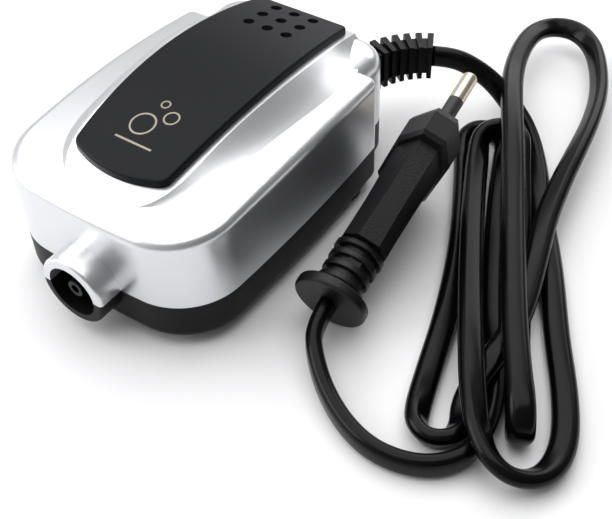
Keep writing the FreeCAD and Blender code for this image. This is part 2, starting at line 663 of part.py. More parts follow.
# ---- diaphragm pump ----------------------------------------------------------------------
def lathe(name, profile, x):
    """A solid turned about the air end's axis; profile is (distance along X, radius) pairs."""
    points = [Vector(x + along, 0, radius) for along, radius in profile]
    wire = Part.makePolygon(points + points[:1])
    solid = Part.Face(wire).revolve(Vector(), X_AXIS, 360)
    made = feature(name, solid)
    made.Placement = Placement(Vector(0, size("chamber_y"), size("drive_height")), Rotation())
    return made


face = size("chamber_x")
skin = size("membrane_skin")
hub = size("membrane_hub")
rim = size("membrane_radius")
membrane = [(0, rim), (0, size("cup_radius") - 0.2), (-1.9, hub), (-1.9, 0), (-1.9 - skin, 0),
            (-1.9 - skin, hub + 0.3), (-skin, size("cup_radius")), (-skin, rim)]
node(lathe("membrane_part", membrane, face), "diaphragm")
clamp_low = -skin - size("clamp_thickness")
clamp = [(-skin, rim + 1.2), (-skin, size("cup_radius") + 0.6),
         (clamp_low, size("cup_radius") + 1.4), (clamp_low, rim + 1.2)]
node(lathe("clamp_part", clamp, face), "diaphragm_clamp")
arm_side = size("drive_x") + size("arm_thickness") / 2 - face
plate_side = -1.9 - skin
stud = [(arm_side, 0), (arm_side, 1.5), (plate_side - 1.5, 1.5), (plate_side - 1.5, hub - 0.6),
        (plate_side, hub - 0.6), (plate_side, 0)]
node(lathe("stud_part", stud, face), "diaphragm_stud")

chamber_low = "drive_height - chamber_side / 2"
chamber_front = "chamber_y - chamber_side / 2"
chamber_block = box("chamber_block", "chamber_width", "chamber_side", "chamber_side",
                    "chamber_x", chamber_front, chamber_low)
chamber_foot = box("chamber_foot", "12", "chamber_side - 4", chamber_low + " - floor",
                   "chamber_x + 2", chamber_front + " + 2", "floor")
chamber_ears = box("chamber_ears", "7", "chamber_side + 12", "2.2", "chamber_x + 12",
                   chamber_front + " - 6", "floor")
ear_holes = [cylinder("ear_hole_%d" % number, "core_screw", "10", "chamber_x + 15.5", y, "4")
             for number, y in enumerate(EAR_SCREWS)]
cup = cylinder("chamber_cup", "cup_radius", "cup_depth", "chamber_x", "chamber_y",
               "drive_height", X_AXIS)
plenum_x = "chamber_x + cup_depth + valve_plate"
plenum_height = "( chamber_side - 4.2 ) / 2"
plenums = [box("plenum_%s" % name, "chamber_width - cup_depth - valve_plate",
               "chamber_side - 3", plenum_height, plenum_x, chamber_front + " + 1.5", z)
           for name, z in (("outlet", chamber_low + " + 1.5"), ("inlet", "drive_height + 0.6"))]
outlet_port_z = "drive_height - 4.5"
inlet_port_z = "drive_height + 4.5"
ports = [cylinder("port_%d" % number, "port_radius", "5", "chamber_x + cup_depth - 1",
                  "chamber_y", z, X_AXIS) for number, z in enumerate((outlet_port_z, inlet_port_z))]
outlet_way = cylinder("outlet_way", "nozzle_bore", "8", "chamber_x + 7.7",
                      chamber_front + " - 5", "parting_height", Y_AXIS)
spigot = cylinder("chamber_spigot", "hose_bore", "2.7", "chamber_x + 7.7",
                  chamber_front + " - 2.6", "parting_height", Y_AXIS)
node(cut("chamber_cut", fuse("chamber_full", chamber_block, chamber_foot, chamber_ears, spigot),
         cup, outlet_way, *plenums, *ports, *ear_holes), "air_chamber")
ear_screws = [flat_screw("ear_screw_%d" % number, "chamber_x + 15.5", y, "floor + 2.2")
              for number, y in enumerate(EAR_SCREWS)]
node(fuse("ear_screw_set", *ear_screws), "chamber_screws")

cover_plate = box("cover_plate", "cover_thickness", "chamber_side", "chamber_side",
                  "chamber_x + chamber_width", chamber_front, chamber_low)
cover_hole = cylinder("cover_hole", "3.6", "6", "chamber_x + chamber_width - 2", "chamber_y",
                      "drive_height + 5.6", X_AXIS)
node(cut("cover_cut", cover_plate, cover_hole), "chamber_cover")
node(cylinder("felt_plug", "3.6", "cover_thickness", "chamber_x + chamber_width", "chamber_y",
              "drive_height + 5.6", X_AXIS), "inlet_felt")

for label, x, z in (("outlet_flap", plenum_x + " + flap_gap", outlet_port_z),
                    ("inlet_flap", "chamber_x + cup_depth - flap_thickness - flap_gap",
                     inlet_port_z)):
    node(box(label + "_leaf", "flap_thickness", "flap_side", "flap_side", x,
             "chamber_y - flap_side / 2", z + " - flap_side / 2"), label)
doc.recompute()

# ---- strain relief and the lead inside ---------------------------------------------------
bend_centre = Vector(size("relief_x") + size("relief_bend"), size("case_rear"),
                     size("relief_height"))


def relief_sector(start, sweep, depth, height):
    """A length of the bent strain relief, from start degrees round its bend."""
    inner = size("relief_bend") - depth / 2
    low = bend_centre - Vector(inner + depth, 0, height / 2)
    outline = Part.makePolygon([low, low + Vector(depth, 0, 0), low + Vector(depth, 0, height),
                                low + Vector(0, 0, height), low])
    solid = Part.Face(outline).revolve(bend_centre, Z_AXIS, -sweep)
    solid.rotate(bend_centre, Z_AXIS, -start)
    return solid


turn = size("relief_turn")
depth = size("relief_core_depth")
height = size("relief_core_height")
neck_low = Vector(size("relief_x") - depth / 2, size("case_rear") - size("wall"),
                  size("relief_height") - height / 2)
relief = Part.makeBox(depth, size("wall"), height, neck_low)
flange_low = neck_low - Vector(1, 2, 1.5)
relief = relief.fuse(Part.makeBox(depth + 2, 2, height + 3, flange_low))
relief = relief.fuse(relief_sector(0, turn, depth, height))
RIB_SWEEP = 3.8
RIB_COUNT = 9
for number in range(RIB_COUNT):
    start = number * (turn - RIB_SWEEP) / (RIB_COUNT - 1)
    grown = size("rib_height") - 0.2 * number
    relief = relief.fuse(relief_sector(start, RIB_SWEEP, size("rib_depth"), grown))
node(feature("relief_part", relief.removeSplitter()), "strain_relief")

tail_start = Vector(size("relief_x"), size("case_rear") - size("wall") - 2,
                    size("relief_height"))
coil_end = Vector(size("drive_x") + 5, size("core_rear") - size("yoke"),
                  size("drive_height") + 11)
leads = []
for side in (-1, 1):
    begin = tail_start + Vector(0, 0, side * 1.1)
    end = coil_end + Vector(side * 2.0, 0, 0.9)
    points = [begin, begin + Vector(0, -3, 0), Vector(9 + side, 41, 26 + side),
              end + Vector(2, 4, 2), end]
    leads.append(tube(points, 0.85)[0])
node(feature("leads_part", Part.makeCompound(leads)), "lead_wires")

# ---- plug --------------------------------------------------------------------------------
# Drawn along +Y from the rear face of its disc, with its wide side upright, then set down.
def eight_sided(along, half_thick, half_span, bevel_thick, bevel_span):
    """The outline of the grip at one place along the plug."""
    quarter = [(half_thick, half_span - bevel_span), (half_thick - bevel_thick, half_span)]
    upper = quarter + [(-x, z) for x, z in reversed(quarter)]
    around = upper + [(-x, -z) for x, z in upper]
    points = [Vector(x, along, z) for x, z in around]
    return Part.makePolygon(points + points[:1])


length = size("plug_length")
half_thick = size("plug_thickness") / 2
half_span = size("plug_span") / 2
neck_radius = size("neck_radius")
neck_end = size("disc_thickness") + size("neck_length")
disc = Part.makeCylinder(size("disc_radius"), size("disc_thickness"), Vector(), Y_AXIS)
disc = disc.makeFillet(0.9, disc.Edges)
neck = Part.makeCylinder(neck_radius - 0.9, neck_end + 1, Vector(), Y_AXIS)
plug = disc.fuse(neck)
RING_COUNT = 4
ring_step = size("neck_length") / RING_COUNT
BRIDGE_WIDTH = 3.2
for number in range(RING_COUNT):
    place_along = size("disc_thickness") + (number + 0.45) * ring_step
    ring = Part.makeCylinder(neck_radius + 0.15 * number, 0.55 * ring_step,
                             Vector(0, place_along, 0), Y_AXIS)
    plug = plug.fuse(ring.makeFillet(0.4, ring.Edges))
    bridge = Part.makeBox(BRIDGE_WIDTH, 0.7 * ring_step, 2 * neck_radius - 0.8,
                          Vector(-BRIDGE_WIDTH / 2, place_along - 0.6 * ring_step,
                                 0.4 - neck_radius))
    bridge.rotate(Vector(), Y_AXIS, 90 * (number % 2))
    plug = plug.fuse(bridge)
head_start = length - 9.2
grip = Part.makeLoft([eight_sided(neck_end, 5.9, 7.8, 3.0, 3.8),
                      eight_sided(neck_end + 11, 5.9, 10.6, 3.3, 5.4),
                      eight_sided(head_start + 0.5, 6.4, 14.8, 3.7, 7.6)], True, False)
head = Part.makeLoft([eight_sided(head_start, half_thick - 0.6, half_span - 1.4, 4.0, 8.5),
                      eight_sided(head_start + 1.0, half_thick, half_span - 0.4, 4.3, 8.8),
                      eight_sided(length - 2.6, half_thick, half_span, 4.3, 8.8),
                      eight_sided(length - 0.8, half_thick - 0.5, half_span - 0.8, 4.1, 8.6),
                      eight_sided(length, half_thick - 1.5, half_span - 2.2, 3.7, 8.0)],
                     True, True)
plug = plug.fuse(grip).fuse(head)
pins = []
sleeves = []
half_pitch = size("pin_spacing") / 2
PIN_CORE = 1.4
PIN_ROOT = 6.0
for side in (-1, 1):
    root = Vector(0, length - PIN_ROOT, side * half_pitch)
    face_point = Vector(0, length, side * half_pitch)
    sleeve_length = size("sleeve_length")
    metal_length = size("pin_length") - sleeve_length
    core = Part.makeCylinder(PIN_CORE, PIN_ROOT + sleeve_length, root, Y_AXIS)
    metal = Part.makeCylinder(size("pin_radius"), metal_length,
                              face_point + Vector(0, sleeve_length, 0), Y_AXIS)
    tip = [edge for edge in metal.Edges if edge.CenterOfMass.y > length + size("pin_length") - 0.1
           and len(edge.Vertexes) == 1]
    metal = metal.makeFillet(0.9, tip)
    pins.append(core.fuse(metal).removeSplitter())
    plug = plug.cut(core)
    coat = Part.makeCylinder(size("sleeve_radius"), sleeve_length, face_point, Y_AXIS)
    sleeves.append(coat.cut(core))
tilted = Rotation(X_AXIS, size("plug_pitch")).multiply(Rotation(Y_AXIS, size("plug_roll")))
set_down = Rotation(Z_AXIS, size("plug_yaw")).multiply(tilted)
plug_place = Placement(Vector(size("plug_x"), size("plug_y"), size("plug_height")), set_down)
for label, shape in (("plug_body", plug.removeSplitter()), ("plug_pins", Part.makeCompound(pins)),
                     ("pin_sleeves", Part.makeCompound(sleeves))):
    made = node(feature(label + "_part", shape), label)
    made.Placement = plug_place

# ---- mains lead --------------------------------------------------------------------------
# The lead leaves the strain relief, drops to the floor and is folded back and forth into a
# loose bundle beside the pump: a loop at the near end, a fold at the far end, a hairpin at
# the near end, a tall loop at the far end, and a last fold and loop before the plug.
turn_rad = math.radians(turn)
relief_end = bend_centre + Vector(-size("relief_bend") * math.cos(turn_rad),
                                  size("relief_bend") * math.sin(turn_rad), 0)
relief_heading = Vector(math.sin(turn_rad), math.cos(turn_rad), 0)
plug_end = plug_place.Base
plug_back = set_down.multVec(Vector(0, -1, 0))
ROUTE = [
    tuple(relief_end), tuple(relief_end + relief_heading * 5.2),
    (37.0, 76.2, 16.8), (43.6, 77.6, 12.9),
    (50.8, 75.6, 8.9), (58.2, 71.6, 5.2), (66.2, 61.8, 3.0), (74.9, 46.4, 2.7),
    (86.6, 28.4, 2.7), (96.6, 9.8, 2.7), (105.6, -4.6, 2.7), (111.0, -15.6, 2.7),
    (112.4, -23.6, 2.9), (110.6, -29.6, 3.6), (106.0, -33.0, 5.2), (100.6, -32.6, 7.6),
    (96.0, -29.0, 9.6), (91.2, -22.4, 11.5), (84.6, -11.2, 11.7), (75.0, 6.6, 9.8),
    (65.0, 26.0, 8.8), (57.0, 42.6, 8.6), (52.4, 53.0, 8.6), (50.0, 58.6, 8.6),
    (51.0, 63.4, 8.8), (55.3, 65.8, 9.0), (60.0, 64.4, 8.8), (62.4, 59.9, 7.8),
    (66.6, 50.8, 5.2), (73.0, 38.6, 2.9), (82.7, 18.9, 2.7), (91.4, -0.2, 2.7),
    (98.7, -13.2, 2.7), (102.2, -20.6, 2.7), (103.8, -23.6, 6.1), (103.5, -23.8, 11.1),
    (101.6, -21.0, 14.6), (97.4, -14.4, 14.9), (90.2, -2.0, 14.7), (79.3, 19.1, 14.6),
    (69.6, 38.0, 15.2), (62.4, 51.6, 17.4), (55.7, 64.0, 17.9), (48.6, 78.7, 16.6),
    (43.6, 93.5, 14.0), (41.2, 106.0, 11.8), (42.0, 114.3, 10.2), (45.6, 120.0, 8.8),
    (51.0, 121.6, 7.7), (57.2, 117.9, 6.8), (63.0, 109.2, 6.5), (68.7, 96.4, 6.9),
    (72.6, 81.5, 8.3), (75.2, 65.0, 9.3), (77.2, 50.4, 9.5), (80.1, 36.0, 9.3),
    (84.6, 21.2, 8.7), (88.2, 8.0, 8.5), (89.8, -2.2, 9.0), (89.5, -10.0, 8.8),
    (88.6, -16.4, 5.6), (89.0, -21.0, 3.2), (91.0, -25.4, 2.7), (90.6, -29.6, 2.7),
    (86.9, -32.4, 2.7), (82.6, -31.0, 2.7), (80.4, -26.4, 2.7), (77.4, -16.4, 2.7),
    (72.0, 2.0, 2.7), (63.2, 25.0, 2.7), (52.4, 45.6, 2.7), (45.2, 57.6, 2.7),
    (42.9, 62.6, 2.7), (44.3, 67.7, 2.7), (49.2, 69.8, 2.7), (53.9, 67.2, 2.7),
    (57.9, 58.0, 2.7), (64.8, 41.6, 2.7), (74.7, 20.6, 2.7), (85.0, 0.4, 2.7),
    (92.2, -13.2, 2.7), (95.6, -22.4, 2.7), (96.2, -30.0, 2.7), (93.2, -36.2, 2.7),
    (87.0, -40.4, 2.7), (78.4, -41.8, 2.7), (69.8, -39.6, 2.8), (61.6, -35.0, 3.6),
    (55.0, -29.6, 5.9), tuple(plug_end + plug_back * 7.5), tuple(plug_end),
]
cord, cord_path, radii = tube([Vector(point) for point in ROUTE], size("cord_diameter") / 2)
node(feature("cord_part", cord), "mains_cord")
section = math.pi * size("cord_diameter") ** 2 / 4
print("cord length %.0f mm, bend radii %s" % (cord_path.Length, [round(r, 1) for r in radii]))
print("cord volume %.0f mm3, section times length %.0f mm3" % (cord.Volume,
                                                               section * cord_path.Length))


def is_sound(made):
    shape = made.Shape
    return not shape.isNull() and shape.isValid() and shape.Volume > 0


doc.recompute()
failed = [item.Label for item in doc.Objects
          if "Invalid" in item.State or "Error" in item.State]
failed += [made.Label for made in nodes if not is_sound(made)]
if failed:
    raise RuntimeError("these objects failed: %s" % ", ".join(failed))
os.makedirs("parts", exist_ok=True)
for made in nodes:
    made.Shape.exportStep("parts/%s.step" % made.Label)
print("%d nodes written" % len(nodes))
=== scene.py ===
# Aquarium air pump: the looks of its casing, drive, air end, plug and flat mains lead.
# Metres, +Z up. The feet stand on Z = 0 and the outlet points to -Y.
import bpy
import bmesh
import math
from mathutils import Matrix, Vector


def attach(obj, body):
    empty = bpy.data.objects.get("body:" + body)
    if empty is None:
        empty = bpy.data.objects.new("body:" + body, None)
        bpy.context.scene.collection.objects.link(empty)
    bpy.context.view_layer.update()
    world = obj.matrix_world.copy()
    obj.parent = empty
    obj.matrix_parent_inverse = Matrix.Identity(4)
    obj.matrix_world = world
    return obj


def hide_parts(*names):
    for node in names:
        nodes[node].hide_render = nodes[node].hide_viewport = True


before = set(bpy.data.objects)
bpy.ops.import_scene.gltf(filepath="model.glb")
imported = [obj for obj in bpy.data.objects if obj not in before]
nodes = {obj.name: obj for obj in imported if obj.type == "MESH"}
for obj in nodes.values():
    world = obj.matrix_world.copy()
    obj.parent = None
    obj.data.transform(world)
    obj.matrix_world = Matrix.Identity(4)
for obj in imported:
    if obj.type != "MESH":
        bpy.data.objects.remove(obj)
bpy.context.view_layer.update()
MM = 0.001


# ---- Upper casing ----
# The upper half shell: moulded plastic with a satin silver lacquer whose fine flakes sparkle
# a little. It is screwed down from below and carries half of the ring round the outlet.
def shader_group(name, inputs, outputs):
    """An empty node group with its sockets; inputs and outputs are (kind, name, value)."""
    group = bpy.data.node_groups.new(name, "ShaderNodeTree")
    for kind, label, value in inputs:
        socket = group.interface.new_socket(label, in_out="INPUT", socket_type="NodeSocket" + kind)
        if value is not None:
            socket.default_value = value
    for kind, label in outputs:
        group.interface.new_socket(label, in_out="OUTPUT", socket_type="NodeSocket" + kind)
    entry = group.nodes.new("NodeGroupInput")
    leave = group.nodes.new("NodeGroupOutput")
    return group, entry, leave


CLOUDS_PER_METRE = 140


def moulded_skin_group():
    """Grain and slow cloudy variation for any moulded, drawn or painted surface."""
    group, entry, leave = shader_group(
        "moulded_skin",
        [("Vector", "Place", None), ("Color", "Colour", (0.5, 0.5, 0.5, 1)),
         ("Float", "Gloss", 0.4), ("Float", "Uneven", 0.08), ("Float", "Grain Size", 0.0004),
         ("Float", "Grain Height", 0.00002)],
        [("Color", "Colour"), ("Float", "Roughness"), ("Vector", "Normal")])
    add, link = group.nodes.new, group.links.new
    clouds = add("ShaderNodeTexNoise")
    clouds.inputs["Scale"].default_value = CLOUDS_PER_METRE
    clouds.inputs["Detail"].default_value = 4
    link(entry.outputs["Place"], clouds.inputs["Vector"])
    centred = add("ShaderNodeMath")
    centred.operation = "SUBTRACT"
    centred.inputs[1].default_value = 0.5
    link(clouds.outputs["Fac"], centred.inputs[0])
    drift = add("ShaderNodeMath")
    drift.operation = "MULTIPLY"
    link(centred.outputs[0], drift.inputs[0])
    link(entry.outputs["Uneven"], drift.inputs[1])
    bright = add("ShaderNodeMath")
    bright.inputs[1].default_value = 1
    link(drift.outputs[0], bright.inputs[0])
    tinted = add("ShaderNodeVectorMath")
    tinted.operation = "SCALE"
    link(entry.outputs["Colour"], tinted.inputs[0])
    link(bright.outputs[0], tinted.inputs["Scale"])
    rough = add("ShaderNodeMath")
    link(entry.outputs["Gloss"], rough.inputs[0])
    link(drift.outputs[0], rough.inputs[1])
    pitch = add("ShaderNodeMath")
    pitch.operation = "DIVIDE"
    pitch.inputs[0].default_value = 1
    link(entry.outputs["Grain Size"], pitch.inputs[1])
    grain = add("ShaderNodeTexNoise")
    grain.inputs["Detail"].default_value = 3
    grain.inputs["Roughness"].default_value = 0.6
    link(entry.outputs["Place"], grain.inputs["Vector"])
    link(pitch.outputs[0], grain.inputs["Scale"])
    relief = add("ShaderNodeBump")
    relief.inputs["Strength"].default_value = 1
    link(entry.outputs["Grain Height"], relief.inputs["Distance"])
    link(grain.outputs["Fac"], relief.inputs["Height"])
    link(tinted.outputs[0], leave.inputs["Colour"])
    link(rough.outputs[0], leave.inputs["Roughness"])
    link(relief.outputs["Normal"], leave.inputs["Normal"])
    return group


moulded_skin = moulded_skin_group()


def finish_of(name, colour, gloss, grain=0.4, height=0.01, uneven=0.08, **sockets):
    """A material on the moulded skin: colour, roughness, grain size and height in millimetres,
    and plain values for the shader's own sockets."""
    material = bpy.data.materials.new(name)
    material.use_nodes = True
    tree = material.node_tree
    shader = tree.nodes["Principled BSDF"]
    where = tree.nodes.new("ShaderNodeTexCoord")
    skin = tree.nodes.new("ShaderNodeGroup")
    skin.node_tree = moulded_skin
    skin.name = "skin"
    skin.inputs["Colour"].default_value = (*colour, 1)
    skin.inputs["Gloss"].default_value = gloss
    skin.inputs["Uneven"].default_value = uneven
    skin.inputs["Grain Size"].default_value = grain * MM
    skin.inputs["Grain Height"].default_value = height * MM
    tree.links.new(where.outputs["Object"], skin.inputs["Place"])
    tree.links.new(skin.outputs["Colour"], shader.inputs["Base Color"])
    tree.links.new(skin.outputs["Roughness"], shader.inputs["Roughness"])
    tree.links.new(skin.outputs["Normal"], shader.inputs["Normal"])
    for socket, value in sockets.items():
        shader.inputs[socket.replace("_", " ")].default_value = value
    return material


def wear(piece, material):
    """Give a piece one material all over."""
    piece.data.materials.clear()
    piece.data.materials.append(material)
    return material


wear(nodes["upper_casing"], finish_of("silver_lacquer", (0.7, 0.71, 0.73), 0.3, grain=0.12,
                                      height=0.0012, uneven=0.03, Metallic=0.92))

# ---- Lower casing ----
# The lower half shell: bare black plastic with a fine spark-eroded texture. Its rim meets the
# upper shell at the outlet's middle height, and it carries the drive and the air end.
black_texture = finish_of("black_texture", (0.003, 0.003, 0.0035), 0.46, grain=0.25, height=0.008,
                          Specular_IOR_Level=0.15)
wear(nodes["lower_casing"], black_texture)

# ---- Feet ----
# Four soft black rubber discs, pressed into seats under the lower casing. They keep the
# pump's hum off the table.
foot_rubber = finish_of("foot_rubber", (0.022, 0.022, 0.022), 0.75, grain=0.5, height=0.02)
for label in ("foot_front_left", "foot_front_right", "foot_rear_left", "foot_rear_right"):
    wear(nodes[label], foot_rubber)

# ---- Casing screws ----
# Four cross-head screws of zinc-plated steel. They are driven up from below, through the
# lower casing, into the upper casing's bosses.
zinc = finish_of("zinc_plate", (0.63, 0.63, 0.6), 0.3, grain=0.3, height=0.004, uneven=0.2,
                 Metallic=1.0)
wear(nodes["casing_screws"], zinc)

# ---- Top panel ----
# An arched strip of charcoal plastic clipped over the casing's hump, drilled with nine vents.
# A plain mark of three rings above a bar is pad-printed near its front end.
top_panel = nodes["top_panel"]
wear(top_panel, finish_of("charcoal_satin", (0.006, 0.0065, 0.009), 0.38, grain=0.15,
                          height=0.004, uneven=0.05, Specular_IOR_Level=0.12))
silver_ink = finish_of("silver_ink", (0.3, 0.27, 0.21), 0.45, grain=0.1, height=0.002,
                       Metallic=0.6)
INK_LIFT = 0.03 * MM
ABOVE_PANEL = 60 * MM


def press_onto_panel(mark):
    """Press a flat mark that floats above the panel onto its arched top."""
    bpy.ops.object.transform_apply(location=True, rotation=True, scale=True)
    onto = mark.modifiers.new("onto_panel", "SHRINKWRAP")
    onto.wrap_method = "PROJECT"
    onto.use_project_z = True
    onto.use_negative_direction = True
    onto.use_positive_direction = False
    onto.target = top_panel
    onto.offset = INK_LIFT
    bpy.ops.object.modifier_apply(modifier="onto_panel")
    wear(mark, silver_ink)
    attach(mark, "case")


def printed_ring(name, x, y, radius, stroke):
    """A ring printed on the panel, its place and sizes in millimetres."""
    bpy.ops.object.select_all(action="DESELECT")
    bpy.ops.mesh.primitive_circle_add(vertices=64, radius=radius * MM, fill_type="NGON",
                                      location=(x * MM, y * MM, ABOVE_PANEL))
    ring = bpy.context.object
    ring.name = name
    bpy.ops.object.mode_set(mode="EDIT")
    bpy.ops.mesh.select_all(action="SELECT")
    bpy.ops.mesh.inset(thickness=stroke * MM)
    bpy.ops.mesh.delete(type="FACE")
    bpy.ops.object.mode_set(mode="OBJECT")
    press_onto_panel(ring)


# The mark is three rings of different sizes above a short bar.
printed_ring("bubble_large", -1.6, -17.0, 3.4, 0.5)
printed_ring("bubble_middle", 3.6, -12.6, 2.1, 0.45)
printed_ring("bubble_small", -0.6, -9.6, 1.3, 0.4)
bpy.ops.object.select_all(action="DESELECT")
bpy.ops.mesh.primitive_plane_add(size=11 * MM, location=(0, -22.6 * MM, ABOVE_PANEL))
bar = bpy.context.object
bar.name = "printed_bar"
bpy.ops.object.mode_set(mode="EDIT")
bpy.ops.mesh.select_all(action="SELECT")
bpy.ops.transform.resize(value=(1, 0.05, 1))
bpy.ops.object.mode_set(mode="OBJECT")
press_onto_panel(bar)

# ---- Vent felt ----
# A square of white filter felt, cut from sheet. It is glued under the panel's vents and
# keeps dust out of the casing.
felt = finish_of("filter_felt", (0.8, 0.79, 0.75), 0.95, grain=0.35, height=0.12, uneven=0.12,
                 Sheen_Weight=0.4, Sheen_Roughness=0.6)
wear(nodes["vent_felt"], felt)

# ---- Outlet nozzle and hose ----
# The black nozzle that the airline is pushed on, held in the front wall by its flange, and
# the short silicone hose that joins it to the air chamber.
wear(nodes["outlet_nozzle"], finish_of("nozzle_black", (0.004, 0.004, 0.005), 0.4, grain=0.3,
                                       height=0.005, Specular_IOR_Level=0.2))
wear(nodes["air_hose"], finish_of("silicone", (0.72, 0.73, 0.7), 0.38, grain=0.8, height=0.01,
                                  Subsurface_Weight=0.2))

# ---- Electromagnet ----
# An E core of thin steel sheets, a nylon bobbin with its copper winding on the middle leg,
# rubber pads under the core and the screws that hold it down.
wear(nodes["core_laminations"], finish_of("core_steel", (0.2, 0.19, 0.18), 0.5, grain=0.3,
                                          height=0.01, uneven=0.25, Metallic=0.9))
wear(nodes["coil_bobbin"], finish_of("bobbin_nylon", (0.78, 0.75, 0.66), 0.5, grain=0.5,
                                     height=0.01))
wear(nodes["coil_winding"], finish_of("enamelled_copper", (0.55, 0.19, 0.06), 0.3, grain=0.3,
                                      height=0.02, uneven=0.3, Metallic=0.8, Coat_Weight=0.6))
wear(nodes["damping_pads"], foot_rubber)
wear(nodes["core_screws"], zinc)

# ---- Swing arm ----
# A nylon arm on a steel pin, with a ferrite magnet in its holder before the coil.
nylon = finish_of("white_nylon", (0.8, 0.79, 0.74), 0.48, grain=0.5, height=0.008)
wear(nodes["swing_arm"], nylon)
wear(nodes["arm_magnet"], finish_of("ferrite", (0.07, 0.07, 0.075), 0.62, grain=0.25,
                                    height=0.03, uneven=0.3, Metallic=0.3))
dark_nylon = finish_of("dark_nylon", (0.05, 0.05, 0.055), 0.5, grain=0.4, height=0.01)
wear(nodes["magnet_holder"], dark_nylon)
wear(nodes["pivot_bracket"], dark_nylon)
wear(nodes["pivot_pin"], finish_of("ground_pin", (0.7, 0.7, 0.7), 0.18, grain=0.2,
                                   height=0.001, Metallic=1.0))
wear(nodes["bracket_screws"], zinc)

# ---- Air end ----
# The rubber diaphragm, its clamp ring and stud, and the valve chamber it pumps into.
wear(nodes["diaphragm"], finish_of("diaphragm_rubber", (0.02, 0.02, 0.022), 0.6, grain=0.6,
                                   height=0.01))
wear(nodes["diaphragm_stud"], nylon)
grey_plastic = finish_of("grey_plastic", (0.55, 0.57, 0.6), 0.46, grain=0.4, height=0.01)
for label in ("diaphragm_clamp", "air_chamber", "chamber_cover"):
    wear(nodes[label], grey_plastic)
wear(nodes["chamber_screws"], zinc)
wear(nodes["inlet_felt"], felt)
flap_rubber = finish_of("flap_rubber", (0.16, 0.05, 0.03), 0.55, grain=0.4, height=0.01)
wear(nodes["inlet_flap"], flap_rubber)
wear(nodes["outlet_flap"], flap_rubber)

# ---- Strain relief ----
# The flat ribbed sleeve of soft black vinyl, moulded round the lead. The rear wall grips it
# behind its flange.
soft_vinyl = finish_of("soft_vinyl", (0.003, 0.003, 0.0035), 0.4, grain=0.5, height=0.012,
                       Specular_IOR_Level=0.15)
wear(nodes["strain_relief"], soft_vinyl)

# ---- Lead wires ----
# The lead's two insulated cores inside the casing. They run from the strain relief to the
# coil's ends, where they are soldered.
wear(nodes["lead_wires"], finish_of("wire_brown", (0.16, 0.07, 0.03), 0.4, grain=0.5,
                                    height=0.005))

# ---- Plug ----
# A moulded two-pin plug: disc, ringed neck and eight-sided grip in one piece of vinyl, with
# nickel pins sleeved in black at the root.
wear(nodes["plug_body"], finish_of("plug_vinyl", (0.003, 0.003, 0.004), 0.38, grain=0.4,
                                   height=0.11, Specular_IOR_Level=0.35))
wear(nodes["plug_pins"], finish_of("warm_nickel", (0.72, 0.64, 0.52), 0.28, grain=0.3,
                                   height=0.002, uneven=0.15, Metallic=1.0))
wear(nodes["pin_sleeves"], finish_of("sleeve_black", (0.02, 0.02, 0.02), 0.5, grain=0.4,
                                     height=0.01))

# ---- Mains lead ----
# A flat twin lead of glossy black vinyl, 6.2 mm wide and 3.9 mm thick, folded back and forth
# beside the pump. It stands on edge at its folds and lies on its broad face between them.
LEAD_WIDTH = 6.2 * MM
LEAD_THICKNESS = 3.9 * MM
WAIST_DEPTH = 0.05 * MM
SHORTEST_STEP = 0.05 * MM
STEPS_PER_POINT = 10
CARRIED_SHARE = 0.6
UV_PER_METRE = 100
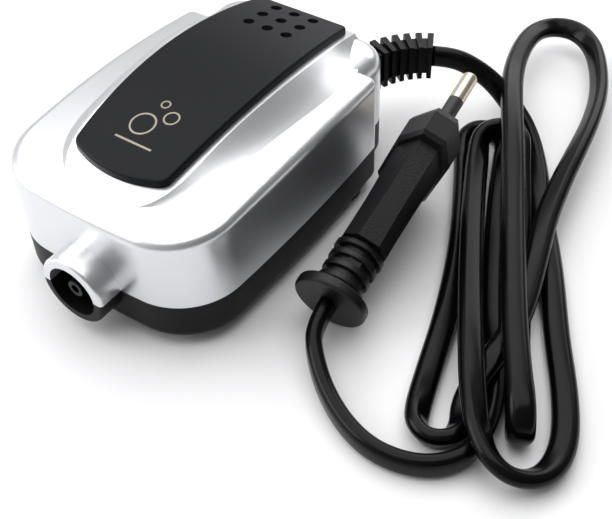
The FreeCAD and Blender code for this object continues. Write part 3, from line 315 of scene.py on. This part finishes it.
# Each point is x, y and z in millimetres, and how far the lead leans off its broad face, in
# degrees.
LEAD_ROUTE = [
    (26.8, 70.9, 19.5, 90), (31.5, 73.3, 19.5, 90), (37.2, 75.8, 17.1, 90),
    (43.6, 77.6, 12.9, 70), (50.6, 76.1, 8.5, 55), (57.9, 72.5, 4.5, 30),
    (65.9, 62.6, 2.3, 10), (74.7, 47.1, 2.0, 0), (86.4, 29.0, 2.1, 0),
    (96.5, 10.3, 2.1, 0), (105.5, -4.2, 2.1, 5), (110.9, -15.2, 2.2, 5),
    (112.4, -23.4, 2.6, 30), (110.6, -29.5, 3.4, 50), (106.0, -32.9, 5.0, 55),
    (100.5, -32.3, 7.1, 50), (95.6, -27.9, 8.0, 25), (90.5, -20.7, 9.1, 5),
    (83.8, -9.3, 9.3, 5), (74.2, 8.4, 7.8, 10), (64.2, 27.8, 7.0, 10),
    (56.2, 44.5, 6.8, 10), (52.0, 53.9, 7.8, 45), (50.1, 58.4, 8.8, 75),
    (51.2, 63.0, 9.1, 90), (55.4, 65.4, 9.3, 90), (60.1, 64.0, 9.1, 90),
    (62.5, 59.7, 8.0, 75), (66.3, 51.5, 4.5, 35), (72.7, 39.3, 2.2, 5),
    (82.5, 19.4, 2.1, 5), (91.2, 0.2, 2.1, 5), (98.6, -12.8, 2.1, 5),
    (102.1, -20.2, 2.1, 5), (103.5, -22.7, 4.8, 5), (103.0, -22.2, 8.8, 5),
    (100.9, -18.8, 11.6, 5), (96.6, -12.0, 11.8, 0), (89.3, 0.6, 11.7, 0),
    (78.2, 22.0, 11.6, 0), (68.3, 41.4, 12.1, 0), (60.7, 55.8, 13.8, 0),
    (53.8, 68.6, 14.2, 0), (46.7, 83.2, 13.2, 0), (42.0, 97.5, 11.1, 0),
    (39.9, 109.4, 9.5, 10), (41.0, 116.8, 8.5, 25), (45.0, 121.6, 7.7, 40),
    (50.7, 122.4, 7.2, 50), (57.1, 118.3, 6.5, 55), (62.9, 109.4, 6.4, 60),
    (68.6, 96.8, 6.6, 55), (72.4, 82.2, 7.7, 50), (74.7, 66.5, 8.1, 35),
    (76.6, 52.3, 7.8, 20), (79.4, 38.0, 7.4, 10), (84.0, 22.9, 6.8, 0),
    (87.7, 9.6, 6.7, 0), (89.2, -0.6, 7.1, 5), (89.0, -8.6, 7.0, 5),
    (88.2, -15.5, 4.4, 10), (88.8, -20.5, 2.5, 10), (91.0, -25.4, 2.7, 35),
    (90.7, -29.8, 3.1, 60), (87.0, -32.7, 3.1, 70), (82.7, -31.2, 3.1, 60),
    (80.4, -26.4, 2.6, 30), (77.2, -16.0, 2.2, 5), (71.8, 2.4, 2.2, 10),
    (63.0, 25.4, 2.3, 10), (52.4, 45.5, 2.8, 40), (45.4, 57.1, 3.1, 70),
    (43.2, 62.0, 3.2, 90), (44.6, 67.1, 3.2, 90), (49.5, 69.2, 3.2, 90),
    (54.1, 66.8, 3.1, 60), (57.8, 58.3, 2.4, 20), (64.6, 42.2, 2.2, 5),
    (74.5, 21.1, 2.2, 10), (84.9, 0.8, 2.3, 10), (92.2, -13.2, 2.7, 35),
    (95.7, -22.6, 3.1, 60), (96.3, -30.3, 3.2, 80), (93.3, -36.5, 3.2, 90),
    (87.2, -40.7, 3.2, 90), (78.6, -42.1, 3.2, 90), (70.0, -39.8, 3.2, 90),
    (61.7, -35.2, 3.9, 90), (55.1, -29.8, 6.2, 90), (50.6, -24.2, 7.8, 90),
    (50.1, -16.9, 9.4, 90),
]
curve = bpy.data.curves.new("lead_line", "CURVE")
curve.dimensions = "3D"
line = curve.splines.new("NURBS")
line.points.add(len(LEAD_ROUTE) - 1)
for point, (x, y, z, lean) in zip(line.points, LEAD_ROUTE):
    point.co = (x * MM, y * MM, z * MM, 1)
line.order_u = 3
line.use_endpoint_u = True
line.resolution_u = STEPS_PER_POINT
guide = bpy.data.objects.new("lead_guide", curve)
bpy.context.scene.collection.objects.link(guide)
bpy.context.view_layer.update()
traced = bpy.data.meshes.new_from_object(guide)
path = [traced.vertices[0].co.copy()]
for vertex in traced.vertices:
    if (vertex.co - path[-1]).length > SHORTEST_STEP:
        path.append(vertex.co.copy())
bpy.data.objects.remove(guide)


def lead_section(width, thickness, steps=8):
    """The lead's outline: two round edges with a faint waist between its two cores."""
    radius = thickness / 2
    reach = width / 2 - radius
    outline = []
    for side in (1, -1):
        for step in range(steps + 1):
            angle = math.pi * (step / steps - 0.5)
            outline.append((side * (reach + radius * math.cos(angle)),
                            side * radius * math.sin(angle)))
        outline.append((0, side * (radius - WAIST_DEPTH)))
    return outline


def laid_lead(name, path, section):
    """Sweep the section along the path, leaning it as the route says."""
    mesh = bpy.data.meshes.new(name)
    shape = bmesh.new()
    uv = shape.loops.layers.uv.new("along")
    rings = []
    travelled = [0.0]
    broad = None
    count = len(path)
    for index, here in enumerate(path):
        before = path[max(index - 1, 0)]
        after = path[min(index + 1, count - 1)]
        ahead = (after - before).normalized()
        if index:
            travelled.append(travelled[-1] + (here - before).length)
        level = ahead.cross(Vector((0, 0, 1)))
        at = index / (count - 1) * (len(LEAD_ROUTE) - 1)
        low = min(int(at), len(LEAD_ROUTE) - 2)
        lean = LEAD_ROUTE[low][3] + (LEAD_ROUTE[low + 1][3] - LEAD_ROUTE[low][3]) * (at - low)
        wanted = Matrix.Rotation(math.radians(lean), 3, ahead) @ level
        if broad is None:
            broad = wanted.normalized()
        if wanted.dot(broad) < 0:
            wanted = -wanted
        carried = (broad - ahead * broad.dot(ahead)).normalized()
        level_share = level.length ** 2 * (1 - CARRIED_SHARE)
        broad = (carried * CARRIED_SHARE + wanted * level_share).normalized()
        broad = (broad - ahead * broad.dot(ahead)).normalized()
        thin = ahead.cross(broad)
        rings.append([shape.verts.new(here + broad * x + thin * z) for x, z in section])
    around = len(section)
    for index in range(count - 1):
        for step in range(around):
            following = (step + 1) % around
            corners = [rings[index][step], rings[index][following],
                       rings[index + 1][following], rings[index + 1][step]]
            face = shape.faces.new(corners)
            face.smooth = True
            marks = [(step, index), (step + 1, index), (step + 1, index + 1), (step, index + 1)]
            for loop, (turn, station) in zip(face.loops, marks):
                loop[uv].uv = (turn / around, travelled[station] * UV_PER_METRE)
    shape.faces.new(reversed(rings[0]))
    shape.faces.new(rings[-1])
    bmesh.ops.recalc_face_normals(shape, faces=shape.faces)
    shape.to_mesh(mesh)
    shape.free()
    made = bpy.data.objects.new(name, mesh)
    bpy.context.scene.collection.objects.link(made)
    return made


lead = laid_lead("mains_lead", path, lead_section(LEAD_WIDTH, LEAD_THICKNESS))
wear(lead, finish_of("lead_vinyl", (0.0015, 0.0015, 0.002), 0.22, grain=1.2, height=0.006,
                     uneven=0.1, Specular_IOR_Level=0.15))
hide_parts("mains_cord")
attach(lead, "case")

# ---- Floor, light and camera ----
# A plain white table top, just clear of the feet, under a broad overhead light. A window
# lights it from the left, and the room is dim to the right.
FLOOR_SIZE = 4
FLOOR_GAP = 0.1 * MM
bpy.ops.mesh.primitive_plane_add(size=FLOOR_SIZE, location=(0, 0, -FLOOR_GAP))
floor = bpy.context.object
floor.name = "floor"
wear(floor, finish_of("pale_floor", (0.84, 0.84, 0.85), 0.6, grain=4, height=0, uneven=0.01))


def soft_light(name, place, aim, width, depth, power):
    """A rectangular soft light at a place, turned to its aim."""
    lamp = bpy.data.lights.new(name, "AREA")
    lamp.shape = "RECTANGLE"
    lamp.size = width
    lamp.size_y = depth
    lamp.energy = power
    made = bpy.data.objects.new(name, lamp)
    bpy.context.scene.collection.objects.link(made)
    made.location = place
    made.rotation_euler = (Vector(aim) - Vector(place)).to_track_quat("-Z", "Y").to_euler()


soft_light("overhead", (-0.15, 0.1, 0.9), (0, 0, 0), 1.2, 1.2, 9)
soft_light("window", (-0.9, -0.6, 0.6), (0, 0, 0.02), 0.9, 0.7, 7.5)
soft_light("rear_fill", (-0.1, 0.9, 0.5), (0.04, 0.04, 0), 0.8, 0.4, 2.5)
# How bright the room is on its left and on its right.
WORLD_LEFT = 0.75
WORLD_RIGHT = 0.12
world = bpy.data.worlds.new("studio")
bpy.context.scene.world = world
world.use_nodes = True
sky = world.node_tree
backdrop = sky.nodes["Background"]
backdrop.inputs["Color"].default_value = (1, 1, 1, 1)
facing = sky.nodes.new("ShaderNodeTexCoord")
parts = sky.nodes.new("ShaderNodeSeparateXYZ")
fall = sky.nodes.new("ShaderNodeMapRange")
fall.inputs["From Min"].default_value = -1
fall.inputs["From Max"].default_value = 1
fall.inputs["To Min"].default_value = WORLD_LEFT
fall.inputs["To Max"].default_value = WORLD_RIGHT
sky.links.new(facing.outputs["Generated"], parts.inputs[0])
sky.links.new(parts.outputs["X"], fall.inputs["Value"])
sky.links.new(fall.outputs[0], backdrop.inputs["Strength"])

# The camera stands at the front right and looks down on the pump. Its turns are in degrees:
# round the vertical, down from level, and about its own line of sight.
CAMERA_PLACE = (142.76 * MM, -149.22 * MM, 189.13 * MM)
CAMERA_HEADING = 36.69
CAMERA_DIP = 45.52
CAMERA_TWIST = -2.49
SENSOR_WIDTH = 36
LENS_PER_WIDTH = 1.6776
camera_lens = bpy.data.cameras.new("camera")
camera_lens.sensor_width = SENSOR_WIDTH
camera_lens.lens = SENSOR_WIDTH * LENS_PER_WIDTH
camera = bpy.data.objects.new("camera", camera_lens)
bpy.context.scene.collection.objects.link(camera)
camera.location = CAMERA_PLACE
heading = Matrix.Rotation(math.radians(CAMERA_HEADING), 3, "Z")
dip = Matrix.Rotation(math.radians(90 - CAMERA_DIP), 3, "X")
twist = Matrix.Rotation(math.radians(CAMERA_TWIST), 3, "Z")
camera.rotation_euler = (heading @ dip @ twist).to_euler()
camera_lens.clip_start = 10 * MM
bpy.context.scene.camera = camera
bpy.context.scene.view_settings.view_transform = "Standard"
